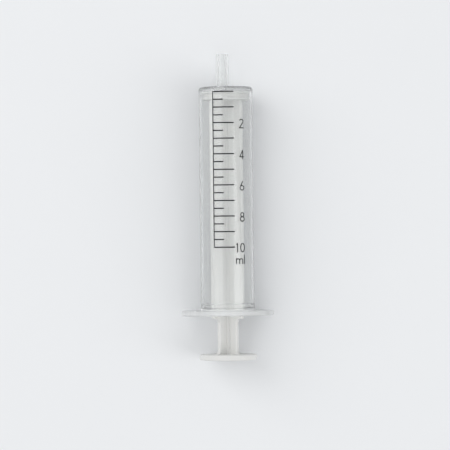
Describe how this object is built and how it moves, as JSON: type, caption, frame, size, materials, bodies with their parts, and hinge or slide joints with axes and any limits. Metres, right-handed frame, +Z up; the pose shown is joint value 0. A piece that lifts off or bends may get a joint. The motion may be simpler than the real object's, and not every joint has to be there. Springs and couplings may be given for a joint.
{
  "type": "slip tip syringe",
  "caption": "Two-piece 10 ml syringe: clear barrel with finger flange, off-centre slip nozzle and printed scale, and a pale plunger that slides in it.",
  "frame": {"origin": "on the ground, under the middle of the whole length and of the flange's width, with the plunger pushed home", "axes": "+Y along the barrel towards the nozzle, +X to the right of the scale, +Z up; the syringe lies on the flat of its flange with the scale up"},
  "size_m": [0.03, 0.0998, 0.0188],
  "materials": {
    "clear_barrel": "hazy clear polypropylene, smooth",
    "pale_plunger": "milky polyethylene, satin",
    "scale_ink": "black printing ink"
  },
  "bodies": {
    "barrel": {"barrel": "clear_barrel", "scale_print": "scale_ink"},
    "plunger": {"plunger": "pale_plunger"}
  },
  "joints": [
    {"name": "plunger_slide", "type": "slide", "parent": "barrel", "child": "plunger", "axis": [0, -1, 0], "range_m": [0, 0.0662]}
  ]
}
